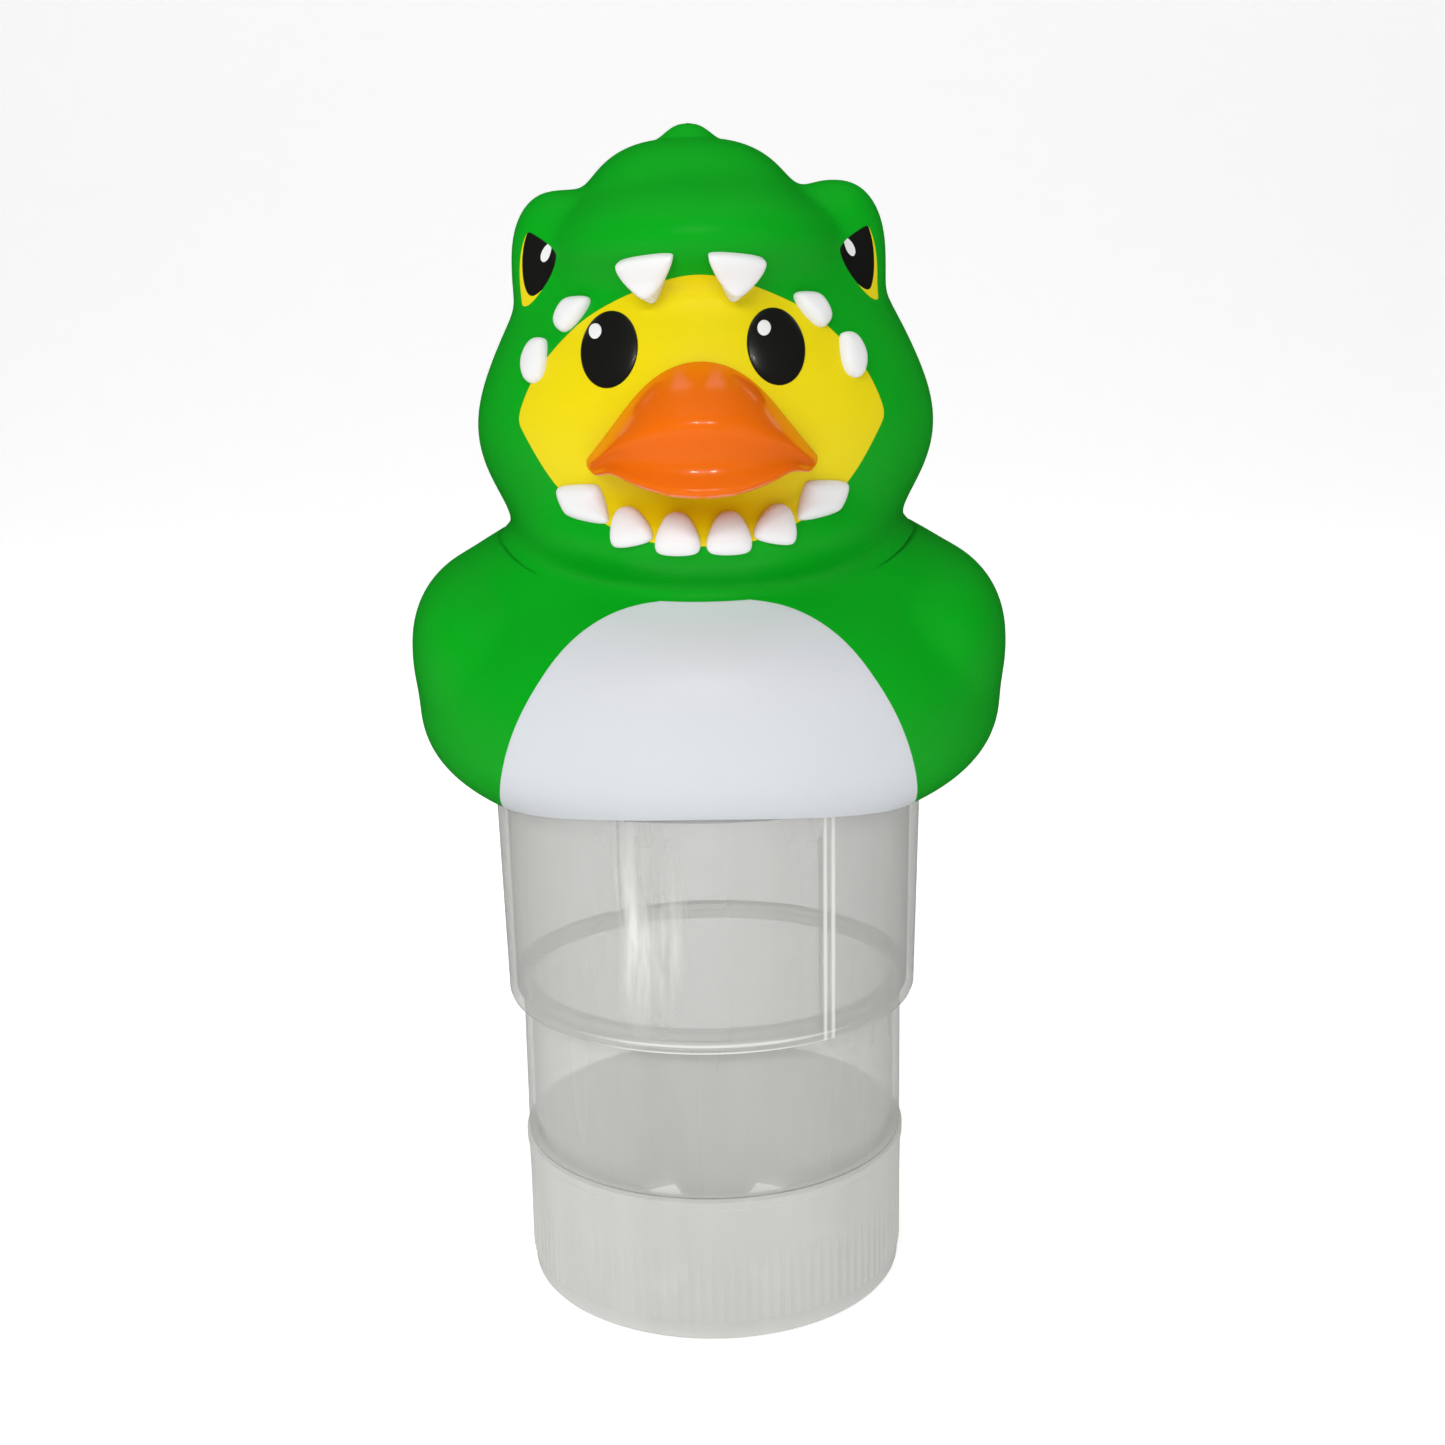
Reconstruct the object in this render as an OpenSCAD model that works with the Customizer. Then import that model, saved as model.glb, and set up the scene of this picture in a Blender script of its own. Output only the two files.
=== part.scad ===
// Floating chlorine dispenser: a hollow vinyl duck in a dinosaur hood floats on top of
// a telescoping clear canister that holds 3 inch tablets.
// Z points up from the flat floor of the end cap, and the duck looks along -Y.

/* [Canister] */
// Diameter of the tablets that the canister takes
tablet_d = 76.2; // [70:0.1:76.2]
// Wall thickness of the canister
wall = 1.6; // [1.5:0.1:1.7]
// Height of the end cap
cap_h = 33.2; // [30:0.1:36]
// Height of the sleeve's lower edge with the tube pulled out
sleeve_z = 66.6; // [64:0.1:68]
// How far the tube slides up into the sleeve
tube_travel = 30; // [10:1:30]
// Gap between parts that move past each other
gap = 0.3; // [0.3:0.05:0.5]
// Radial clearance of a running fit
fit = 0.05; // [0.03:0.01:0.1]

/* [End cap] */
// Number of grip flutes
flute_count = 110; // [60:10:180]
// Number of water slots in the cap's floor
slot_count = 6; // [4:1:8]
// Width of a water slot, in degrees
slot_angle = 22; // [10:1:24]

/* [Float] */
// Thickness of the vinyl skin
skin = 2.2; // [1.5:0.1:3]
// Number of spikes down the back of the hood
spike_count = 5; // [1:1:5]
// Steps around the head and the body
steps_round = 44; // [24:2:48]
// Steps from the top of a skin to its rim
steps_down = 20; // [12:1:24]

/* [Hidden] */
$fn = 96;

clear_plastic = [0.82, 0.83, 0.83, 0.5];
green = [0.0, 0.58, 0.18];
yellow = [0.93, 0.84, 0.02];
orange = [0.97, 0.45, 0.04];
white = [0.93, 0.93, 0.94];
black = [0.06, 0.06, 0.06];

// canister radii, from the tablet outwards
neck_in = tablet_d / 2 + 1.7;
neck_out = neck_in + wall;
cap_bore = neck_out + fit;
tube_out = neck_out + wall;
tube_in = neck_out;
lip_bore = tube_out + 2 * fit;
sleeve_in = tube_out + 1.5;
flange_out = sleeve_in - 2 * fit;
sleeve_out = sleeve_in + wall;
// the sleeve widens upwards by its mould draft
sleeve_draft = 1.2;

// cap heights
cap_floor = 2;
disc_z = cap_floor + gap;
disc_t = 1.6;
neck_z0 = disc_z + disc_t + 0.5;
shoulder_z = cap_h + gap;
pivot_r = 3;
slot_in = 14;
slot_out = 32;

// heights above the cap
lip_t = 1.8;
flange_z = sleeve_z + lip_t + gap;
flange_t = 2.2;
sleeve_step_z = 116.5;
sleeve_top = sleeve_step_z + 9;
spigot_r = 45.4;
socket_in = spigot_r + 0.1;
socket_out = 47.6;
socket_top = sleeve_top + 5.5;
plate_t = 2;
plug_r = 5;
// the two guide ribs inside the sleeve
rib_w = 1.8;
rib_depth = 1;
rib_angles = [-58, 122];

// keys of the flow disc
key_count = 4;
key_w = 5;
key_h = 2.6;

// blobs: [centre, radii, exponent]. A form is [blobs, how softly they run together,
// knobs on top of them, how softly those run in]
head_centre = [0, 0, 198];
body_centre = [0, 5, 140];
head = [
    [
        [[1, 2, 191.5], [48, 45, 28.5], 2],
        [[0.9, 5, 203.5], [42.6, 43, 33.5], 2],
        [[-1.7, 8, 233.5], [21.6, 30, 18], 2.6],
        [[0.5, -6, 199], [34, 39, 27], 2],
        [[0, -14, 229.5], [27, 31, 11.5], 2],
        [[0.5, -16, 172], [34, 33, 11], 2]
    ],
    3.2,
    [[[-28.7, -4, 225.8], [10, 14, 15], 2.3], [[28.3, -4, 226.6], [10.6, 14, 15.4], 2.3]],
    1.3
];
body = [
    [
        [[0.8, 10, 133.5], [64.6, 62, 30.2], 2.3],
        [[0.4, -16, 137], [44, 38, 28], 2],
        [[0.9, 4, 160], [54.8, 40, 17.5], 2],
        [[0, 58, 152], [24, 31, 16], 2]
    ],
    2.5,
    [[[-46, 5, 146], [18.2, 36, 19.5], 2.2], [[47.6, 5, 146], [18.2, 36, 19.5], 2.2]],
    0.8
];
// the crease between head and body lies between these heights
crease_low = 156;
crease_high = 180;
hole_r = socket_out + gap;

// small raised trim stands on the skin by this much
trim_base = 1.4;
trim_t = 0.8;
// the trim on top of the face panel starts here
trim_2 = trim_base + trim_t + 0.7;

// how far a point is outside one blob, roughly in mm
function blob_reach(p, b) =
    let (q = [for (i = [0:2]) abs((p[i] - b[0][i]) / b[1][i])])
    (pow(pow(q.x, b[2]) + pow(q.y, b[2]) + pow(q.z, b[2]), 1 / b[2]) - 1) * min(b[1]);

function soft_union(parts, blend) =
    -blend * ln([for (r = parts) exp(-r / blend)] * [for (r = parts) 1]);

// the same for a whole form
function reach(p, form) =
    let (main = soft_union([for (b = form[0]) blob_reach(p, b)], form[1]))
    soft_union(concat([main], [for (b = form[2]) blob_reach(p, b)]), form[3]);

// distance from c along d to where the form's reach equals level
function skin_at(c, d, form, level, lo = 0, hi = 130, n = 14) =
    n == 0 ? (lo + hi) / 2 :
    let (m = (lo + hi) / 2)
    reach(c + d * m, form) > level ?
        skin_at(c, d, form, level, lo, m, n - 1) :
        skin_at(c, d, form, level, m, hi, n - 1);

function unit(v) = v / norm(v);
function slerp(a, b, t) =
    let (w = acos(max(-1, min(1, a * b))))
    (sin((1 - t) * w) * a + sin(t * w) * b) / sin(w);
function round_dir(i) = [cos(360 * i / steps_round), sin(360 * i / steps_round), 0];

// half-width of head or body at height z, in direction u
function head_r(u, z, level) = skin_at([0, 0, z], u, head, level, 0, 80);
function body_r(u, z, level) = skin_at([0, 0, z], u, body, level, 0, 80);

// height between lo and hi where head and body are equally wide in direction u
function crease_z(u, level, lo, hi, n = 10) =
    n == 0 ? (lo + hi) / 2 :
    let (z = (lo + hi) / 2)
    head_r(u, z, level) > body_r(u, z, level) ?
        crease_z(u, level, lo, z, n - 1) :
        crease_z(u, level, z, hi, n - 1);

// point of the crease where the skins of head and body meet, in the direction of step i
function crease_point(i, level) =
    let (u = round_dir(i), z = crease_z(u, level, crease_low, crease_high))
    [0, 0, z] + u * body_r(u, z, level);

// point of a skin's underside on the socket's cylinder
function hole_point(i, level) =
    let (
        u = round_dir(i) * hole_r,
        top = [u.x, u.y, body_centre.z],
        w = [0, 0, -1]
    )
    top + w * skin_at(top, w, body, level, 0, 60);

// one closed polyhedron from two skins, each a list of rings, the outer one first.
// Both ends are open rims; with a pole the first ring shrinks to a point.
module double_skin(outer, inner, pole) {
    n = steps_round;
    rows = len(outer);
    points = concat([for (r = outer) each r], [for (r = inner) each r]);
    base = rows * n;
    outer_faces = [
        for (j = [0:rows - 2]) for (i = [0:n - 1])
        let (k = (i + 1) % n)
        each [
            if (!(pole && j == 0)) [j * n + i, j * n + k, (j + 1) * n + k],
            [j * n + (pole && j == 0 ? 0 : i), (j + 1) * n + k, (j + 1) * n + i]
        ]
    ];
    inner_faces = [for (f = outer_faces) [f[2] + base, f[1] + base, f[0] + base]];
    low = (rows - 1) * n;
    low_rim = [
        for (i = [0:n - 1])
        let (k = (i + 1) % n)
        each [
            [low + i, low + k, low + base + k],
            [low + i, low + base + k, low + base + i]
        ]
    ];
    top_rim = pole ? [] : [
        for (i = [0:n - 1])
        let (k = (i + 1) % n)
        each [[i, base + k, k], [i, base + i, base + k]]
    ];
    polyhedron(points, concat(outer_faces, inner_faces, low_rim, top_rim), convexity = 6);
}

// thin closed pad that follows a skin. outline is a list of [u, v] in the plane of
// axes a and b inside the float; the pad lies where rays along w from there leave the skin.
module pad(outline, middle, origin, a, b, w, centre, form,
           base = trim_base, edge = trim_t, rise = 0, rings = 3, power = 2) {
    n = len(outline);
    function foot(q) =
        let (
            p = origin + a * q[0] + b * q[1],
            s = skin_at(p, w, form, 0, 0, 100)
        )
        p + w * s;
    function lifted(p, h) = p + unit(p - centre) * h;
    feet = concat(
        [foot(middle)],
        [for (j = [1:rings]) for (q = outline) foot(middle + (q - middle) * j / rings)]
    );
    function height(j) = edge + rise * pow(1 - pow(j / rings, power), 0.6);
    ring_of = concat([0], [for (j = [1:rings]) for (q = outline) j]);
    top = [for (i = [0:len(feet) - 1]) lifted(feet[i], base + height(ring_of[i]))];
    bottom = [for (p = feet) lifted(p, base)];
    m = len(feet);
    fan = [for (i = [0:n - 1]) [0, 1 + (i + 1) % n, 1 + i]];
    bands = [
        for (j = [0:rings - 2]) for (i = [0:n - 1])
        let (k = (i + 1) % n, r = 1 + j * n)
        each [[r + i, r + n + k, r + n + i], [r + i, r + k, r + n + k]]
    ];
    up = concat(fan, bands);
    down = [for (f = up) [f[2] + m, f[1] + m, f[0] + m]];
    rim = 1 + (rings - 1) * n;
    side = [
        for (i = [0:n - 1])
        let (k = (i + 1) % n)
        each [[rim + i, rim + k + m, rim + i + m], [rim + i, rim + k, rim + k + m]]
    ];
    polyhedron(concat(top, bottom), concat(up, down, side), convexity = 4);
}

// a pad on the front of the head or of the body, drawn in x and z
module face_pad(outline, middle, base = trim_base, edge = trim_t, rise = 0, rings = 3, power = 2) {
    pad(outline, middle, [0, 0, 0], [1, 0, 0], [0, 0, 1], [0, -1, 0],
        head_centre, head, base, edge, rise, rings, power);
}

// a pad on the mound of the hood, seen from mound_turn degrees to the side of the front.
// outline is for the mound at +X; side is -1 for the other one.
mound_turn = 50;
module mound_pad(outline, middle, side, base, edge) {
    turned = side > 0 ? outline : [for (i = [len(outline) - 1:-1:0]) [-outline[i].x, outline[i].y]];
    a = [cos(mound_turn), side * sin(mound_turn), 0];
    pad(turned, [side * middle.x, middle.y], [0, 0, 0], a, [0, 0, 1], cross(a, [0, 0, 1]),
        head_centre, head, base, edge, 0, 3);
}

function oval(c, r, tilt = 0, n = 20) = [
    for (i = [0:n - 1])
    let (
        t = 360 * i / n,
        x = r[0] * cos(t),
        z = r[1] * sin(t)
    )
    [c[0] + x * cos(tilt) - z * sin(tilt), c[1] + x * sin(tilt) + z * cos(tilt)]
];

// closed outline from its right half, listed from bottom to top
function mirrored(half) = concat(
    half,
    [for (i = [len(half) - 1:-1:0]) if (half[i].x > 0) [-half[i].x, half[i].y]]
);

// closed outline with its corners cut
function rounded(q, passes = 1) =
    passes == 0 ? q :
    rounded([
        for (i = [0:len(q) - 1])
        let (r = q[(i + 1) % len(q)])
        each [0.75 * q[i] + 0.25 * r, 0.25 * q[i] + 0.75 * r]
    ], passes - 1);

// an outline moved, turned and, with side = -1, mirrored
function placed(q, c, turn = 0, side = 1) =
    let (moved = [
        for (p = q)
        [
            side * (c.x + p.x * cos(turn) - p.y * sin(turn)),
            c.y + p.x * sin(turn) + p.y * cos(turn)
        ]
    ])
    side > 0 ? moved : [for (i = [len(moved) - 1:-1:0]) moved[i]];

// ---- canister ----

module sector(r0, r1, angle, h) {
    intersection() {
        difference() {
            cylinder(r = r1, h = h);
            translate([0, 0, -1]) cylinder(r = r0, h = h + 2);
        }
        linear_extrude(h)
            polygon([
                [0, 0],
                2 * r1 * [cos(angle / 2), -sin(angle / 2)],
                2 * r1 * [1, 0],
                2 * r1 * [cos(angle / 2), sin(angle / 2)]
            ]);
    }
}

module slots(h) {
    for (i = [0:slot_count - 1])
        rotate(360 / slot_count * i) sector(slot_in, slot_out, slot_angle, h);
}

function flutes(r, depth) = [
    for (i = [0:2 * flute_count - 1])
    (r - (i % 2) * depth) * [cos(180 * i / flute_count), sin(180 * i / flute_count)]
];

module end_cap() {
    base_r = 42.6;
    rim_r = 43.6;
    edge_r = 1.2;
    rim_h = 2.6;
    flute_r = 43.1;
    flute_depth = 0.2;
    color(clear_plastic) {
        difference() {
            union() {
                rotate_extrude()
                    polygon(concat(
                        [[0, 0]],
                        [
                            for (t = [-90:15:0])
                            [base_r - edge_r + edge_r * cos(t), edge_r + edge_r * sin(t)]
                        ],
                        [
                            [rim_r - 0.3, cap_h - rim_h], [rim_r, cap_h - rim_h + 0.4],
                            [rim_r, cap_h - 0.6], [rim_r - 0.6, cap_h], [0, cap_h]
                        ]
                    ));
                translate([0, 0, 4.5])
                    linear_extrude(cap_h - rim_h - 6) polygon(flutes(flute_r, flute_depth));
            }
            translate([0, 0, cap_floor]) cylinder(r = cap_bore, h = cap_h);
            translate([0, 0, -1]) slots(cap_floor + 2);
        }
        translate([0, 0, cap_floor - 0.5]) cylinder(r = pivot_r, h = disc_t + gap + 0.8);
        translate([0, 0, disc_z + disc_t + 0.2]) cylinder(r1 = pivot_r + 0.8, r2 = pivot_r, h = 1.4);
    }
}

module flow_disc() {
    color(clear_plastic) {
        difference() {
            translate([0, 0, disc_z]) cylinder(r = neck_out - 0.3, h = disc_t);
            translate([0, 0, disc_z - 1]) cylinder(r = pivot_r + fit, h = disc_t + 2);
            translate([0, 0, disc_z - 1]) slots(disc_t + 2);
        }
        intersection() {
            difference() {
                cylinder(r = neck_out - 0.3, h = cap_h);
                translate([0, 0, -1]) cylinder(r = neck_in + 0.1, h = cap_h);
            }
            for (i = [0:key_count - 1])
                rotate(360 / key_count * i + 45)
                    translate([neck_in - 2, -key_w / 2, disc_z + disc_t - 0.2])
                        cube([4, key_w, key_h + 0.2]);
        }
    }
}

module slide_tube() {
    flange_top = flange_z + flange_t;
    notch_w = rib_w + 2 * gap;
    color(clear_plastic)
        difference() {
            rotate_extrude()
                polygon([
                    [neck_in, neck_z0], [neck_out, neck_z0], [neck_out, shoulder_z],
                    [tube_out, shoulder_z], [tube_out, flange_z], [flange_out, flange_z],
                    [flange_out, flange_top], [tube_in, flange_top],
                    [tube_in, shoulder_z + 4], [neck_in, shoulder_z + 2]
                ]);
            for (i = [0:key_count - 1])
                rotate(360 / key_count * i + 45)
                    translate([neck_in - 2, -key_w / 2 - gap, neck_z0 - 1])
                        cube([5, key_w + 2 * gap, key_h + 0.5 + gap]);
            for (angle = rib_angles)
                rotate(angle)
                    translate([sleeve_in - rib_depth - gap, -notch_w / 2, flange_z - 1])
                        cube([5, notch_w, flange_t + 2]);
        }
}

module sleeve() {
    top_out = sleeve_out + sleeve_draft;
    color(clear_plastic) {
        rotate_extrude()
            polygon([
                [lip_bore, sleeve_z], [sleeve_out - 1.2, sleeve_z],
                [sleeve_out - 0.35, sleeve_z + 0.35], [sleeve_out, sleeve_z + 1.2],
                [top_out, sleeve_step_z], [spigot_r, sleeve_step_z + 0.4],
                [spigot_r, sleeve_top], [0, sleeve_top], [0, sleeve_top - wall],
                [spigot_r - wall, sleeve_top - wall], [spigot_r - wall, sleeve_step_z - 4],
                [sleeve_in + 0.5, sleeve_step_z - 6], [sleeve_in, sleeve_z + lip_t],
                [lip_bore, sleeve_z + lip_t]
            ]);
        for (angle = rib_angles)
            rotate(angle)
                translate([sleeve_in - rib_depth, -rib_w / 2, sleeve_z + lip_t - 0.2])
                    cube([rib_depth + 0.6, rib_w, tube_travel + 12]);
    }
}

module socket_cup() {
    color(white)
        difference() {
            rotate_extrude()
                polygon([
                    [socket_in, sleeve_step_z + 1], [socket_out, sleeve_step_z + 1],
                    [socket_out, socket_top], [0, socket_top], [0, socket_top - plate_t],
                    [socket_in, socket_top - plate_t]
                ]);
            translate([0, 0, socket_top - plate_t - 1]) cylinder(r = plug_r, h = plate_t + 2);
        }
}

module vent_plug() {
    head_t = 1.2;
    color(black) {
        translate([0, 0, socket_top - plate_t - head_t]) cylinder(r = plug_r + 3, h = head_t);
        translate([0, 0, socket_top - plate_t - 0.1]) cylinder(r = plug_r - 0.05, h = plate_t + 1.1);
    }
}

// ---- float ----

module body_shell() {
    function ring_dir(i, j, level) =
        let (
            a = unit(crease_point(i, level) - body_centre),
            b = unit(hole_point(i, level) - body_centre)
        )
        slerp(a, b, j / steps_down);
    function ring(j, level) = [
        for (i = [0:steps_round - 1])
        let (d = ring_dir(i, j, level))
        j == 0 ? crease_point(i, level) :
        j == steps_down ? hole_point(i, level) :
        body_centre + d * skin_at(body_centre, d, body, level)
    ];
    color(green)
        double_skin([for (j = [0:steps_down]) ring(j, 0)],
                    [for (j = [0:steps_down]) ring(j, -skin)], false);
}

// right half of the belly's outline in x and z
belly_half = [
    [0, 121], [14, 121], [28, 121], [40, 121], [42, 126], [39.2, 133.8], [35, 142.3],
    [28.5, 151.4], [20.7, 157.2], [12, 160.2], [0, 160.9]
];

module belly_panel() {
    color(white)
        pad(rounded(mirrored(belly_half)), [0, 140], [0, 0, 0], [1, 0, 0], [0, 0, 1], [0, -1, 0],
            body_centre, body, rings = 5);
}

module hood_shell() {
    function ring(j, level) = [
        for (i = [0:steps_round - 1])
        let (
            rim = crease_point(i, level),
            d = slerp([0, 0, 1], unit(rim - head_centre), j / steps_down)
        )
        j == steps_down ? rim :
        head_centre + d * skin_at(head_centre, d, head, level)
    ];
    color(green)
        translate([0, 0, 0.05])
            double_skin([for (j = [0:steps_down]) ring(j, 0)],
                        [for (j = [0:steps_down]) ring(j, -skin)], true);
}

// right half of the face's outline in x and z
face_half = [
    [4.5, 172], [12, 173], [19, 175.8], [26, 179.8], [30.2, 184], [35.6, 193.2], [36.5, 195.4],
    [35.6, 198.6], [32.6, 204.6], [27.5, 210.5], [21, 216], [9.4, 221], [0, 223]
];

module duck_face() {
    color(yellow) face_pad(rounded(mirrored(face_half)), [0, 194], rings = 8);
}

// right half of the beak's outline in x and z
beak_half = [
    [0, 182.5], [6, 182.9], [10, 183.9], [13.5, 185], [17, 186.2], [20.5, 185.6], [22.4, 187.6],
    [17.5, 195], [11, 202], [6, 205.6], [0, 206.4]
];

module beak() {
    color(orange) face_pad(mirrored(beak_half), [0, 191], trim_2, 1.4, 14, 7, 2.4);
}

// the eyes and the upper teeth sit a little to one side, like the real ones
face_lean = -1.4;
eye_x = 16;
eye_z = 209;
eye_size = [5.6, 7.3];

module duck_eye(side) {
    c = [side * eye_x + face_lean, eye_z];
    color(black) face_pad(oval(c, eye_size, side * 10), c, trim_2, 0.6, 0.8, 3);
}
module duck_eye_left() duck_eye(-1);
module duck_eye_right() duck_eye(1);

module duck_eye_glints() {
    color(white)
        for (side = [-1, 1]) {
            c = [side * eye_x + face_lean - 2.4, eye_z + 3.2];
            face_pad(oval(c, [1.4, 1.5], 0, 10), c, trim_2 + 1.6, 0.4, 0, 1);
        }
}

// eyes of the hood, outlines on the right mound, across and up
hood_eye_middle = [7.4, 225.5];
hood_eye_rim = [
    [1.6, 225.4], [4.6, 221.5], [8.4, 218], [11.6, 217.5], [12.6, 218.4], [12.4, 225.5],
    [10.6, 232], [9.4, 232.4], [1.2, 228], [0.4, 227.4]
];
hood_eye_black = [
    [2.4, 225.4], [5.2, 222], [8.4, 219.8], [10.4, 221], [11, 225.5], [9.8, 230.6], [9, 231],
    [2.6, 228.2], [1.8, 227.6]
];
hood_eye_base = trim_base + 1.2;

module hood_eye(side) {
    color(black)
        mound_pad(rounded(hood_eye_black), hood_eye_middle, side, hood_eye_base, 0.6);
}
module hood_eye_left() hood_eye(-1);
module hood_eye_right() hood_eye(1);

module hood_eye_rims() {
    color(yellow)
        for (side = [-1, 1])
            mound_pad(rounded(hood_eye_rim), hood_eye_middle, side, trim_base, 0.6);
}

module hood_eye_glints() {
    c = [4.6, 228];
    color(white)
        for (side = [-1, 1])
            mound_pad(oval(c, [1, 1.7], 35, 10), c, side, hood_eye_base + 1.1, 0.4);
}

// teeth, shapes round their middle on the side at +X
fang_shape = [[0, -4.8], [3.2, -2], [5.8, 1.8], [5.2, 3.2], [-4.9, 4.2], [-5.6, 3], [-3, -2]];
gumdrop = [
    [-0.38, -0.52], [0.38, -0.52], [0.54, -0.34], [0.45, 0.1], [0.2, 0.54], [-0.2, 0.54],
    [-0.45, 0.1], [-0.54, -0.34]
];
corner_tooth = [
    [-5.6, -2.8], [-4.6, -3.9], [2.6, -3], [4, -1.9], [5.4, 2.1], [4.4, 3.3], [-2.6, 3.9],
    [-3.9, 3.1]
];
upper_tooth = [
    [-3.9, 1.8], [-1.6, -1.4], [1.2, -3.7], [3.3, -2.6], [3.5, -0.6], [1.2, 3.2], [-2, 3.6],
    [-3.9, 3.3]
];
side_tooth = [
    [-2.3, -2.2], [-0.6, -4.3], [1.6, -4.5], [2.6, -2.4], [2.5, 0.6], [0.5, 4.2], [-1.9, 4.4],
    [-2.7, 3.4]
];

module fang(side) {
    c = [side * 8.7 + face_lean, 222.2];
    outline = rounded(placed(fang_shape, [8.7 + side * face_lean, c.y], 0, side));
    color(white) face_pad(outline, c, trim_2, 1.5, 2.5, 3);
}
module fang_left() fang(-1);
module fang_right() fang(1);

// teeth as [shape, middle, size, turn], for the side at +X
module tooth_row(teeth, rise, lean) {
    color(white)
        for (side = [-1, 1])
            for (t = teeth) {
                shape = [for (p = t[0]) [p.x * t[2].x, p.y * t[2].y]];
                outline = placed(shape, [t[1].x + side * lean, t[1].y], t[3], side);
                face_pad(rounded(outline), [side * t[1].x + lean, t[1].y], trim_2, 1, rise, 2);
            }
}

module upper_teeth() {
    tooth_row([
        [upper_tooth, [23.6, 215.7], [1, 1], 0],
        [side_tooth, [31.2, 207], [1, 1], 0]
    ], 1.6, face_lean);
}

module lower_teeth() {
    tooth_row([
        [gumdrop, [4.9, 174.2], [8.5, 7.4], 0],
        [gumdrop, [14.1, 175.5], [8, 6.9], -12],
        [corner_tooth, [23.5, 179.6], [1, 1], 0]
    ], 1.8, 0);
}

// spikes run from the crown down the back of the hood, each seen from its own direction
module back_spikes() {
    hood_lean = -1.7;
    first = 88;
    step = -21;
    foot = [5, 7];
    foot_edge = 0.3;
    crown_rise = 1.8;
    spike_rise = 6;
    color(green)
        for (i = [0:spike_count - 1]) {
            lift = first + step * i;
            out = [0, cos(lift), sin(lift)];
            along = [0, -sin(lift), cos(lift)];
            origin = head_centre + [hood_lean, 0, 0];
            rise = i == 0 ? crown_rise : spike_rise;
            pad(oval([0, 0], foot, 0, 16), [0, 0], origin, [-1, 0, 0], along, out,
                head_centre, head, trim_base, foot_edge, rise, 3, 1.6);
        }
}

end_cap();
flow_disc();
slide_tube();
sleeve();
socket_cup();
vent_plug();
body_shell();
belly_panel();
hood_shell();
duck_face();
beak();
duck_eye_left();
duck_eye_right();
duck_eye_glints();
hood_eye_left();
hood_eye_right();
hood_eye_rims();
hood_eye_glints();
fang_left();
fang_right();
upper_teeth();
lower_teeth();
back_spikes();
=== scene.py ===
"""Looks for a floating chlorine dispenser: a vinyl duck in a dinosaur hood on a clear canister."""

import math

import bpy
import numpy as np
from mathutils import Euler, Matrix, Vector


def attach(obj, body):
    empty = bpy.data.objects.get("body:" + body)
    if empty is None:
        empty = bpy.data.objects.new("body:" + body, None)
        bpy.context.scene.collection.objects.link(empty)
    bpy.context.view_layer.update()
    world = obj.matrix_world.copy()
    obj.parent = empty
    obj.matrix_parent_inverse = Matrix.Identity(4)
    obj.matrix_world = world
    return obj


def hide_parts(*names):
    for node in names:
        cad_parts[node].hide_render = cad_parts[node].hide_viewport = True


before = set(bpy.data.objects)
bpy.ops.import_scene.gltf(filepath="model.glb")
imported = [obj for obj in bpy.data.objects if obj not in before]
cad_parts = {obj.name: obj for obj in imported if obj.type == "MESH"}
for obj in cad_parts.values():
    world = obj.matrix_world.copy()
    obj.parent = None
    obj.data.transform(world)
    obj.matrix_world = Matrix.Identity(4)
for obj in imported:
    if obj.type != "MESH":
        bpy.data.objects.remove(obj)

bl_info = {
    "name": "Chlorine Dispenser Looks",
    "version": (1, 0, 0),
    "blender": (4, 5, 0),
    "location": "View3D > Sidebar > Dispenser",
    "description": "Builds the dispenser's skins, trim, finishes and stage around its frame",
    "category": "Object",
}

MM = 0.001
FLOAT = "float"

# ---- the float's two forms, in mm ----

HEAD_CENTRE = np.array((0.0, 0.0, 198.0))
BODY_CENTRE = np.array((0.0, 5.0, 140.0))
# each form: its blobs, how softly they run together, the knobs on top of them and how
# softly those run in; each blob or knob: centre, radii, roundness
HEAD = (
    [
        ((1, 2, 191.5), (48, 45, 28.5), 2),
        ((0.9, 5, 203.5), (42.6, 43, 33.5), 2),
        ((-1.7, 8, 233.5), (21.6, 30, 18), 2.6),
        ((0.5, -6, 199), (34, 39, 27), 2),
        ((0, -14, 229.5), (27, 31, 11.5), 2),
        ((0.5, -16, 172), (34, 33, 11), 2),
    ],
    3.2,
    [((-28.7, -4, 225.8), (10, 14, 15), 2.3), ((28.3, -4, 226.6), (10.6, 14, 15.4), 2.3)],
    1.3,
)
BODY = (
    [
        ((0.8, 10, 133.5), (64.6, 62, 30.2), 2.3),
        ((0.4, -16, 137), (44, 38, 28), 2),
        ((0.9, 4, 160), (54.8, 40, 17.5), 2),
        ((0, 58, 152), (24, 31, 16), 2),
    ],
    2.5,
    [((-46, 5, 146), (18.2, 36, 19.5), 2.2), ((47.6, 5, 146), (18.2, 36, 19.5), 2.2)],
    0.8,
)
# how softly head and body run together
SEAM_BLEND = 1.6
# the crease between head and body lies between these heights
CREASE_LOW, CREASE_HIGH = 156.0, 180.0
# radius of the hole under the body, where the socket cup closes it
HOLE_R = 47.9
# distance given to every point that is well outside an outline
WELL_OUTSIDE = 3.0


def blob_reach(points, blob):
    """How far points are outside one blob, roughly in mm."""
    centre, radii, power = blob
    q = np.abs((points - np.array(centre)) / np.array(radii)) ** power
    return (q.sum(-1) ** (1 / power) - 1) * min(radii)


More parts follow.
